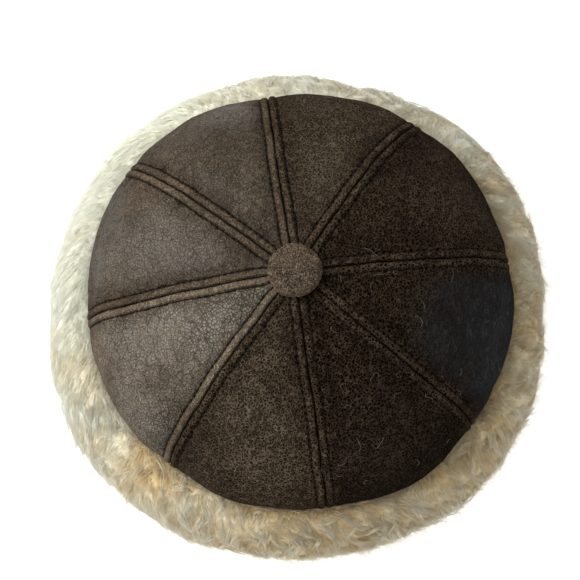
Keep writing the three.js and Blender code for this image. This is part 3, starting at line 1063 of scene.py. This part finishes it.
def make_underwool(wool):
    """The dense wool and hide of the cuff: its section carried round, sunk and lumpy below the strands."""
    columns, rows = 240, 100
    azimuth = 360 * np.arange(columns) / columns
    along = CUFF_LENGTH * np.arange(rows)[:, None] / rows
    [depth] = cuff_at(along, "wool")
    plain = cuff_points(azimuth, along, 0.0)[0]
    lumps = 0.045 * depth * waves(plain, size=9.0, seed=33, octaves=2)
    points = cuff_points(azimuth, along, 0.17 * depth + lumps)[0]
    points[..., 2] = np.maximum(points[..., 2], 0)
    at = np.arange(rows * columns).reshape(rows, columns)
    beside, above = np.roll(at, -1, 1), np.roll(at, -1, 0)
    faces = np.stack([at, beside, np.roll(beside, -1, 0), above], -1).reshape(-1, 4)
    add_piece(
        "underwool",
        points.reshape(-1, 3),
        [faces],
        (wool_material(wool, "underwool_finish", dense=True),),
        ("shearling_cuff",),
        {"golden": golden_tint_and_painted_shade(points)},
    )


def strand_paths(root, handle, tip, shares):
    """Paths that leave each root towards its handle and end at its tip: quadratic curves at given shares."""
    t = shares[:, None]
    return (1 - t) ** 2 * root[:, None] + 2 * t * (1 - t) * handle[:, None] + t**2 * tip[:, None]


def shaken_grid(first, last, spacing, radius, rng):
    """Azimuths and distances along a section of points on a shaken grid."""
    lanes = max(1, int(round((last - first) / spacing)))
    posts = int(round(2 * np.pi * radius / spacing))
    lane, post = (v.ravel() for v in np.meshgrid(np.arange(lanes), np.arange(posts), indexing="ij"))
    azimuth = 360 * (post + 0.5 * (lane % 2) + rng.uniform(-0.45, 0.45, post.size)) / posts
    along = first + (last - first) * (lane + 0.5 + rng.uniform(-0.45, 0.45, lane.size)) / lanes
    return azimuth, along


def lay_wool(azimuth, along, count, spacing, reach, down, rng, raised=0.0, wisps=None):
    """Strands of many locks at once, from roots deep in the cuff to tips on its outer form, with their looks.

    A strand's tip lies off its root by the flow of its lock, and is drawn towards the tip of the lock. The
    flow is down the section where down is 1, up it where -1, and turned by the combing and broad waves.
    Raised is the share of strands that stand out, wisps the share of locks, at each lock, whose strands meet
    in a tip that is paler and gets less painted shade.
    """
    locks = len(azimuth)
    radius, height = cuff_at(along, "radius", "height")
    plain = polar(azimuth, radius, height)
    combed = around_cuff("combed", azimuth)
    rough = roughness(azimuth)
    stray = 0.55 * waves(plain, size=60.0, seed=7, octaves=2)
    stray += 0.35 * waves(plain, size=18.0, seed=8, octaves=2)
    stray += rough * (0.75 * waves(plain, size=8.0, seed=17, octaves=2) + rng.normal(0, 0.28, locks))
    turn = combed + stray * (1 - 0.5 * np.abs(combed))
    wisp = np.zeros(locks) if wisps is None else (rng.uniform(0, 1, locks) < wisps).astype(float)
    stretch = reach * rng.uniform(0.7, 1.25, locks) * (1 + 0.35 * wisp)
    flow = np.stack([np.sin(turn), -down * np.cos(turn)], -1) * stretch[:, None]
    angle = rng.uniform(0, 2 * np.pi, (locks, count))
    spread = 0.75 * spacing * np.sqrt(rng.uniform(0, 1, (locks, count)))
    own = np.stack([np.cos(angle), np.sin(angle)], -1) * spread[..., None]
    pull = np.clip(rng.normal(0.05, 0.2, (locks, count)), -0.3, 0.5)
    pull += (0.85 - pull) * wisp[:, None]
    shaken = rng.normal(0, 0.6, own.shape) * (1 - 0.7 * wisp[:, None, None])
    moved = flow[:, None] + own * (1 - pull[..., None]) + shaken
    loose = rng.uniform(0, 1, (locks, count)) < raised
    sink = rng.normal(0.0, 0.25, (locks, count)) + rng.normal(0, 0.10, (locks, 1))
    sink = sink - loose * rng.uniform(1.0, 6.0, (locks, count)) - 1.3 * wisp[:, None]

    def place(offset, sunk):
        turned = azimuth[:, None] + np.degrees(offset[..., 0] / radius[:, None])
        return cuff_points(turned, along[:, None] + offset[..., 1], sunk)

    [depth] = cuff_at(along[:, None] + own[..., 1], "wool")
    root, normal = place(own, 0.22 * depth)
    tip = place(moved, sink)[0]
    handle = root + normal * (0.26 * depth)[..., None]
    # Painted shade from the table round the cuff, uneven by lock and by strand, and less on the wisps.
    uneven = rough * (0.27 * waves(plain, size=11.0, seed=91, octaves=2) + rng.normal(0, 0.22, locks))
    shade = around_cuff("shaded", azimuth) + uneven - 0.5 * wisp
    shade = np.clip(shade[:, None] + rng.normal(0, 0.19, (locks, count)), 0, 1)
    pale = np.maximum(0.35 * loose, 0.5 * wisp[:, None]) * rng.uniform(0.7, 1.1, (locks, count))
    thick = np.ones((locks, count)) + 0.5 * wisp[:, None] - 0.25 * loose
    return [v.reshape(-1, *v.shape[2:]) for v in (root, handle, tip, normal, shade, pale, thick)]


# Shares of a strand's length at its rings

CURVED = np.array([0.0, 0.55, 1.0])
STRAIGHT = np.array([0.0, 1.0])

STRAND_SIDES = 3


def above_floor(height):
    """Heights eased by an exponential below a soft limit, so that none reaches the floor."""
    soft, least = 1.2, 0.15
    eased = least + (soft - least) * np.exp((height - soft) / (soft - least))
    return np.where(height < soft, eased, height)


def add_strands(name, path, radii, upward, tips, shade, golden, material):
    """One piece of wool from the paths of its strands, kept above the floor.

    Tips says how near to the tip each ring of a strand is, but for the last, which is a point. Shade, which
    is painted shade, and golden, partly painted warm shade, hold a number for each strand.
    """
    points, faces = tube_mesh(path, radii, upward, STRAND_SIDES, pointed=True)
    points[:, 2] = above_floor(points[:, 2])
    size = len(points) // len(path)
    values = {
        "tip": np.tile(np.r_[np.repeat(tips, STRAND_SIDES), 1.0], len(path)),
        "shade": np.repeat(shade, size),
        "golden": np.repeat(golden, size),
    }
    add_piece(name, points, faces, (material,), (), values)


def wool_piece(name, strands, width, shares, material, rng):
    """One piece of the cuff's wool from its strands, each thinner towards its tip."""
    root, handle, tip, normal, shade, pale, thick = strands
    path = strand_paths(root, handle, tip, shares)
    taper = np.where(shares < 1, 1 - 0.36 * shares, 0)
    radii = 0.5 * width * thick[:, None] * rng.uniform(0.7, 1.3, (len(root), 1)) * taper
    add_strands(name, path, radii, normal, shares[:-1], shade, golden_tint_and_painted_shade(root) * (1 - pale), material)


# Where the wool outside the cuff ends, past its top and down towards the leather

LIP_RADIUS = 98.6


def make_cuff_wool(wool):
    """The strands outside the cuff, a piece for each quarter round it: curved locks over straight down."""
    over_top = slice(60, 160)
    lip = np.interp(-LIP_RADIUS, -CUFF["radius"][over_top], CUFF["along"][over_top])
    material = wool_material(wool, "wool_finish", dense=False)
    width = wool.strand_width / MM
    spaced, strands_each = wool.lock_spacing / MM, wool.strands_per_lock
    layers = (
        ("cuff_wool", 2024, spaced, strands_each, 10.0, CURVED, 1.1 * width, 0.03, 0.055),
        ("cuff_down", 4048, 3.1, 10, 8.0, STRAIGHT, 0.7 * width, 0.33, 0.0),
    )
    for name, seed, spacing, count, reach, shares, thick, raised, wisps in layers:
        rng = np.random.default_rng(seed)
        azimuth, along = shaken_grid(2.0, lip, spacing, radius=114.0, rng=rng)
        down = 1 - 0.5 * smooth(along, lip - 15, lip - 1)
        shares_of_wisps = wisps * around_cuff("fringe", azimuth) * roughness(azimuth)
        strands = lay_wool(azimuth, along, count, spacing, reach, down, rng, raised, shares_of_wisps)
        quarter = np.repeat((azimuth % 360 // 90).astype(int), count)
        for part in range(4):
            chosen = [v[quarter == part] for v in strands]
            wool_piece(f"{name}_{part + 1}", chosen, thick, shares, material, rng)


def panel_under(azimuth, along):
    """Which panel lies at each azimuth below the dome, and the share of its width there."""
    panel = np.searchsorted(PANELS["azimuth"], azimuth % 360, side="right") - 1
    start, turn = panel_turn(panel, along)
    return panel, ((azimuth - start) % 360 / turn).clip(0, 1)


def make_edge_fringe(wool):
    """Tufts along the edge of the leather: most flop outwards over the fold, a few stand against the leather.

    How far a standing tuft climbs is the table round the cuff times a soft wave, and a random share of that.
    Its strands meet towards its tip.
    """
    rng = np.random.default_rng(seed=77)
    tufts, count = 880, 6
    middle = rng.uniform(0, 360, tufts)
    ground = polar(middle, 100.0, 0.0)
    fringe = around_cuff("fringe", middle)
    tall = fringe * (1.25 + 0.8 * waves(ground, size=15.0, seed=6, octaves=2))
    stands = rng.uniform(0, 1, tufts) < 0.25 + 0.02 * fringe
    rise = 2.5 + 0.35 * tall * rng.uniform(0.1, 1.0, tufts) ** 1.5
    climb = np.where(stands, rise, rng.uniform(2.5, 6.5, tufts))
    start = rng.uniform(0.4, 2.2, tufts)
    lean = np.where(stands, 0.5 - start, rng.uniform(2.0, 7.5, tufts))
    sweep = 2.2 * waves(ground, size=30.0, seed=9, octaves=2) + rng.normal(0, 1.2, tufts)

    def strands(of_tufts, spread):
        return (of_tufts[:, None] * rng.uniform(1 - spread, 1 + spread, (tufts, count))).reshape(-1, 1)

    foot = rng.uniform(56.5, 60.5, tufts * count)
    height = foot[:, None] + strands(climb, 0.35) * (1.35 * CURVED - 0.35 * CURVED**2)
    apart = rng.normal(0, 0.8, (tufts, count)).ravel()[:, None] * (1 - 0.5 * CURVED)
    turned = np.repeat(middle, count)[:, None] + apart + strands(sweep, 0.5) * CURVED**1.5
    away = strands(start, 0.5) + strands(lean, 0.15) * CURVED**1.6
    along = crown_along(height)
    panel, across = panel_under(turned, along)
    path = crown_points(panel, across, along, np.maximum(away, 0.3))
    taper = np.array([1.0, 0.8, 0.0])
    radii = 0.5 * wool.strand_width / MM * rng.uniform(0.6, 1.1, (tufts * count, 1)) * taper
    # Painted shade, random by tuft and by strand, and heavier where the table round the cuff gives it.
    shade = rng.uniform(0, 0.45, tufts)[:, None] + rng.uniform(0, 0.25, (tufts, count))
    shade += 0.4 * around_cuff("shaded", middle)[:, None]
    golden = np.where(np.repeat(stands, count), 0.55, 0.85) * golden_tint_and_painted_shade(path[:, 0])
    material = wool_material(wool, "fringe_finish", dense=False)
    add_strands(
        "edge_fringe", path, radii, unit(path[:, 0] * [1, 1, 0]), [0.3, 0.8], shade.ravel(), golden, material
    )


def make_edge_locks(wool):
    """Short curly wisps over the edge of the leather, only where the fringe is tall.

    A wisp climbs along the leather by its length, leans sideways, and turns round a small circle as it goes.
    """
    rng = np.random.default_rng(seed=91)
    tries, most = 1400, 430
    middle = rng.uniform(235, 345, tries)
    middle = middle[5.5 + 3.2 * rng.uniform(0, 1, middle.size) < around_cuff("fringe", middle)][:most]
    locks, count = middle.size, 3
    share = np.linspace(0, 1, 7)

    def each(low, high):
        return rng.uniform(low, high, (locks, 1, 1))

    clump = smooth(waves(polar(middle, 100.0, 0.0), size=13.0, seed=6, octaves=2), -0.6, 0.9)
    climb = np.clip(3.0 + rng.exponential(1.2 + 1.8 * clump), 3, 9) * around_cuff("fringe", middle) / 9
    climb = climb[:, None, None] * rng.uniform(0.85, 1.1, (locks, count, 1))
    phase = each(0, 2 * np.pi) + rng.normal(0, 0.15, (locks, count, 1))
    turn = phase + 2 * np.pi * each(-1.3, 1.3) * share
    curl = each(0.5, 1.9)
    sideways = climb * rng.normal(0, 0.4, (locks, 1, 1)) * share + curl * (np.sin(turn) - np.sin(phase))
    apart = rng.normal(0, 0.5, (locks, count, 1)) * (1 - 0.5 * share)
    foot = crown_along(59.0 + rng.uniform(-2, 2, (locks, count, 1)))
    along = foot - climb * share + 0.7 * curl * (np.cos(turn) - np.cos(phase))
    turned = middle[:, None, None] + np.degrees((apart + sideways) / CROWN_REACH)
    away = np.broadcast_to(0.4 + each(0.2, 1.6) * share, along.shape)
    along, turned, away = (v.reshape(-1, share.size) for v in (along, turned, away))
    panel, across = panel_under(turned, along)
    path = crown_points(panel, across, along, away)
    taper = np.r_[0.9, 1.0, 0.95, 0.85, 0.75, 0.6, 0.0]
    radii = 0.5 * wool.strand_width / MM * rng.uniform(0.7, 1.2, (len(path), 1)) * taper
    # Painted shade, heavier than on the fringe: the dark line where the wool meets the leather.
    shade = 0.45 + each(0, 0.4) + 0.3 * around_cuff("shaded", middle)[:, None, None]
    shade = np.broadcast_to(shade, (locks, count, 1)).ravel()
    tips = [0.1, 0.25, 0.4, 0.55, 0.7, 0.85]
    golden = 0.8 * golden_tint_and_painted_shade(path[:, 0])
    material = wool_material(wool, "lock_finish", dense=False)
    add_strands("edge_locks", path, radii, unit(path[:, 0] * [1, 1, 0]), tips, shade, golden, material)


def make_stray_fibres(crown, wool):
    """Curly fibres of wool that lie loose on the leather, most of them on the panels at the lower right.

    A fibre is a row of equal steps whose direction turns evenly, with a sine of its own on top.
    """
    rng = np.random.default_rng(seed=31)
    share = np.linspace(0, 1, 9)
    dome_radius, dome_along = CROWN["radius"][:DOME_POINTS], CROWN["along"][:DOME_POINTS]
    paths = []

    def each(count, low, high):
        return rng.uniform(low, high, (count, 1))

    for panel, count in enumerate(FIBRES):
        way = each(count, 0, 2 * np.pi) + each(count, -5, 5) * share
        way += each(count, 0.2, 1.1) * np.sin(2 * np.pi * (each(count, 0.5, 1.5) * share))
        step = each(count, 0.4, 1.0)
        middle = CROWN_REACH * each(count, 0.04, 0.95) ** 0.5
        along = np.interp(middle, dome_radius, dome_along) + np.cumsum(step * np.sin(way), 1)
        width = panel_width(panel, along)
        across = each(count, 0.03, 0.97) + np.cumsum(step * np.cos(way), 1) / width
        across = np.clip(across, 0.01, 0.99)
        off = np.minimum(across, 1 - across) * width
        sides = [seam_relief(panel, side, off, along, crown) for side in (0, 1)]
        flat = crown_points(panel, across, along, 0.0)
        sag = panel_sag(panel, flat, off, along, crown)
        over = np.where(across < 0.5, *sides) + sag + 0.2 + 0.5 * np.sin(np.pi * share)
        paths.append(crown_points(panel, across, along, over))
    path = np.concatenate(paths)
    radii = np.broadcast_to(0.06 * np.r_[np.ones(8), 0], path.shape[:2])
    points, faces = tube_mesh(path, radii, unit(path.mean(1)), STRAND_SIDES, pointed=True)
    add_piece("stray_fibres", points, faces, (fibre_material(wool),))


def make_inner_wool(wool):
    """Coarser strands inside the hat, from the fold of the cuff down to its foot."""
    rng = np.random.default_rng(seed=55)
    spacing = 5.5
    top = CUFF["along"][np.argmax((CUFF["along"] > 120) & (CUFF["wool"] > 1.0))]
    azimuth, along = shaken_grid(top, CUFF_LENGTH - 3, spacing, radius=88.0, rng=rng)
    strands = lay_wool(azimuth, along, count=5, spacing=spacing, reach=5.0, down=-0.8, rng=rng)
    material = wool_material(wool, "inner_wool_finish", dense=False)
    wool_piece("inner_wool", strands, width=0.5, shares=STRAIGHT, material=material, rng=rng)


# The stage, in metres: the floor, the soft light, the sky, and the point that the camera looks at

FLOOR_REACH = 12.0
LAMP_SIZE = 0.95
LAMP_PLACE = (-0.80, 0.19, 0.90)
LAMP_TARGET = (0, 0, 0.06)
LAMP_COLOR = (1.0, 0.998, 0.965)
SKY_COLOR = (1.0, 1.0, 0.975, 1)
BRIGHT_SKY = (-0.86, 0.2, 0.45)
CAMERA_TARGET = Vector((-4.7, 4.8, 60.0)) * MM
SENSOR_WIDTH = 36.0


def facing(direction):
    """The turn that points a lamp or camera along a direction."""
    return direction.to_track_quat("-Z", "Y").to_euler()


def make_floor(stage):
    """A pale floor that gives a little light of its own."""
    mesh = bpy.data.meshes.new("floor")
    corners = [(x * FLOOR_REACH, y * FLOOR_REACH, 0) for x, y in ((-1, -1), (1, -1), (1, 1), (-1, 1))]
    mesh.from_pydata(corners, [], [(0, 1, 2, 3)])
    floor = add_object("floor", mesh)
    material, tree, shader = new_material("floor_finish")
    tone = opaque(stage.floor_color)
    inputs = {
        "Base Color": tone,
        "Emission Color": tone,
        "Emission Strength": stage.floor_glow,
        "Roughness": 0.9,
    }
    feed(tree, shader, inputs)
    mesh.materials.append(material)


def make_sky(stage):
    """Even light from all round, stronger towards the upper left."""
    world = bpy.data.worlds.new("studio")
    world.use_nodes = True
    sky = world.node_tree
    direction = add_node(sky, "ShaderNodeTexCoord").outputs["Generated"]
    towards = add_node(sky, "ShaderNodeVectorMath", {0: direction, 1: BRIGHT_SKY}, operation="DOT_PRODUCT")
    fill = stage.fill_strength
    strength = remap(sky, towards.outputs["Value"], -0.6, 0.9, 0.7 * fill, 1.5 * fill)
    feed(sky, sky.nodes["Background"], {"Color": SKY_COLOR, "Strength": strength})
    bpy.context.scene.world = world


def make_stage(stage):
    """A pale floor, soft light from the upper left and the camera at the photograph's angle."""
    scene = bpy.context.scene
    scene.view_settings.view_transform = "Standard"
    make_floor(stage)
    make_sky(stage)
    light = bpy.data.lights.new("window_light", "AREA")
    light.size = LAMP_SIZE
    light.energy = stage.window_power
    light.color = LAMP_COLOR
    lamp = add_object("window_light", light)
    lamp.location = LAMP_PLACE
    lamp.rotation_euler = facing(Vector(LAMP_TARGET) - lamp.location)
    camera = bpy.data.cameras.new("camera")
    camera.lens = stage.lens
    camera.sensor_width = SENSOR_WIDTH
    viewer = add_object("camera", camera)
    back = Vector((0, -np.cos(stage.elevation), np.sin(stage.elevation)))
    viewer.location = CAMERA_TARGET + back * stage.distance
    viewer.rotation_euler = facing(-back)
    scene.camera = viewer


# Operators and the sidebar


class BEANIE_OT_crown_panels(bpy.types.Operator):
    """Add the eight leather panels of the crown"""

    bl_idname = "beanie.crown_panels"
    bl_label = "Crown Panels"

    def execute(self, context):
        make_crown_panels(context.scene.beanie_crown, context.scene.beanie_wool)
        return {"FINISHED"}


class BEANIE_OT_topstitching(bpy.types.Operator):
    """Add the rows of stitches beside the seams"""

    bl_idname = "beanie.topstitching"
    bl_label = "Topstitching"

    def execute(self, context):
        make_topstitching(context.scene.beanie_crown)
        return {"FINISHED"}


class BEANIE_OT_top_button(bpy.types.Operator):
    """Add the covered button"""

    bl_idname = "beanie.top_button"
    bl_label = "Covered Button"

    def execute(self, context):
        make_top_button(context.scene.beanie_button)
        return {"FINISHED"}


class BEANIE_OT_underwool(bpy.types.Operator):
    """Add the dense wool of the cuff"""

    bl_idname = "beanie.underwool"
    bl_label = "Underwool"

    def execute(self, context):
        make_underwool(context.scene.beanie_wool)
        return {"FINISHED"}


class BEANIE_OT_cuff_wool(bpy.types.Operator):
    """Add the strands of wool on the cuff"""

    bl_idname = "beanie.cuff_wool"
    bl_label = "Cuff Wool"

    def execute(self, context):
        make_cuff_wool(context.scene.beanie_wool)
        return {"FINISHED"}


class BEANIE_OT_edge_fringe(bpy.types.Operator):
    """Add the tufts of wool along the edge of the leather"""

    bl_idname = "beanie.edge_fringe"
    bl_label = "Edge Fringe"

    def execute(self, context):
        make_edge_fringe(context.scene.beanie_wool)
        return {"FINISHED"}


class BEANIE_OT_edge_locks(bpy.types.Operator):
    """Add the short curly wisps over the edge of the leather"""

    bl_idname = "beanie.edge_locks"
    bl_label = "Edge Locks"

    def execute(self, context):
        make_edge_locks(context.scene.beanie_wool)
        return {"FINISHED"}


class BEANIE_OT_stray_fibres(bpy.types.Operator):
    """Add the loose fibres on the leather"""

    bl_idname = "beanie.stray_fibres"
    bl_label = "Stray Fibres"

    def execute(self, context):
        make_stray_fibres(context.scene.beanie_crown, context.scene.beanie_wool)
        return {"FINISHED"}


class BEANIE_OT_inner_wool(bpy.types.Operator):
    """Add the wool inside the hat"""

    bl_idname = "beanie.inner_wool"
    bl_label = "Inner Wool"

    def execute(self, context):
        make_inner_wool(context.scene.beanie_wool)
        return {"FINISHED"}


class BEANIE_OT_stage(bpy.types.Operator):
    """Add the floor, the lights and the camera"""

    bl_idname = "beanie.stage"
    bl_label = "Stage"

    def execute(self, context):
        make_stage(context.scene.beanie_stage)
        return {"FINISHED"}


OPERATORS = (
    BEANIE_OT_crown_panels,
    BEANIE_OT_topstitching,
    BEANIE_OT_top_button,
    BEANIE_OT_underwool,
    BEANIE_OT_cuff_wool,
    BEANIE_OT_edge_fringe,
    BEANIE_OT_edge_locks,
    BEANIE_OT_stray_fibres,
    BEANIE_OT_inner_wool,
    BEANIE_OT_stage,
)

SETTINGS = {
    "beanie_crown": BeanieCrownSettings,
    "beanie_wool": BeanieWoolSettings,
    "beanie_button": BeanieButtonSettings,
    "beanie_stage": BeanieStageSettings,
}


class BEANIE_PT_sidebar(bpy.types.Panel):
    """Lists the settings and pieces of the beanie"""

    bl_idname = "BEANIE_PT_sidebar"
    bl_label = "Leather Beanie"
    bl_space_type = "VIEW_3D"
    bl_region_type = "UI"
    bl_category = "Beanie"

    def draw(self, context):
        for name, group in SETTINGS.items():
            box = self.layout.box()
            for key in group.__annotations__:
                box.prop(getattr(context.scene, name), key)
        for operator in OPERATORS:
            self.layout.operator(operator.bl_idname)


def register():
    """Registers the settings, operators and sidebar."""
    for group in SETTINGS.values():
        bpy.utils.register_class(group)
    for name, group in SETTINGS.items():
        setattr(bpy.types.Scene, name, bpy.props.PointerProperty(type=group))
    for operator in OPERATORS:
        bpy.utils.register_class(operator)
    bpy.utils.register_class(BEANIE_PT_sidebar)


def unregister():
    """Removes what register added."""
    bpy.utils.unregister_class(BEANIE_PT_sidebar)
    for operator in reversed(OPERATORS):
        bpy.utils.unregister_class(operator)
    for name, group in SETTINGS.items():
        delattr(bpy.types.Scene, name)
        bpy.utils.unregister_class(group)


def main():
    """Builds every piece in order."""
    register()
    bpy.ops.beanie.stage()
    bpy.ops.beanie.crown_panels()
    bpy.ops.beanie.topstitching()
    bpy.ops.beanie.top_button()
    bpy.ops.beanie.underwool()
    bpy.ops.beanie.cuff_wool()
    bpy.ops.beanie.edge_fringe()
    bpy.ops.beanie.edge_locks()
    bpy.ops.beanie.stray_fibres()
    bpy.ops.beanie.inner_wool()


if __name__ == "__main__":
    main()
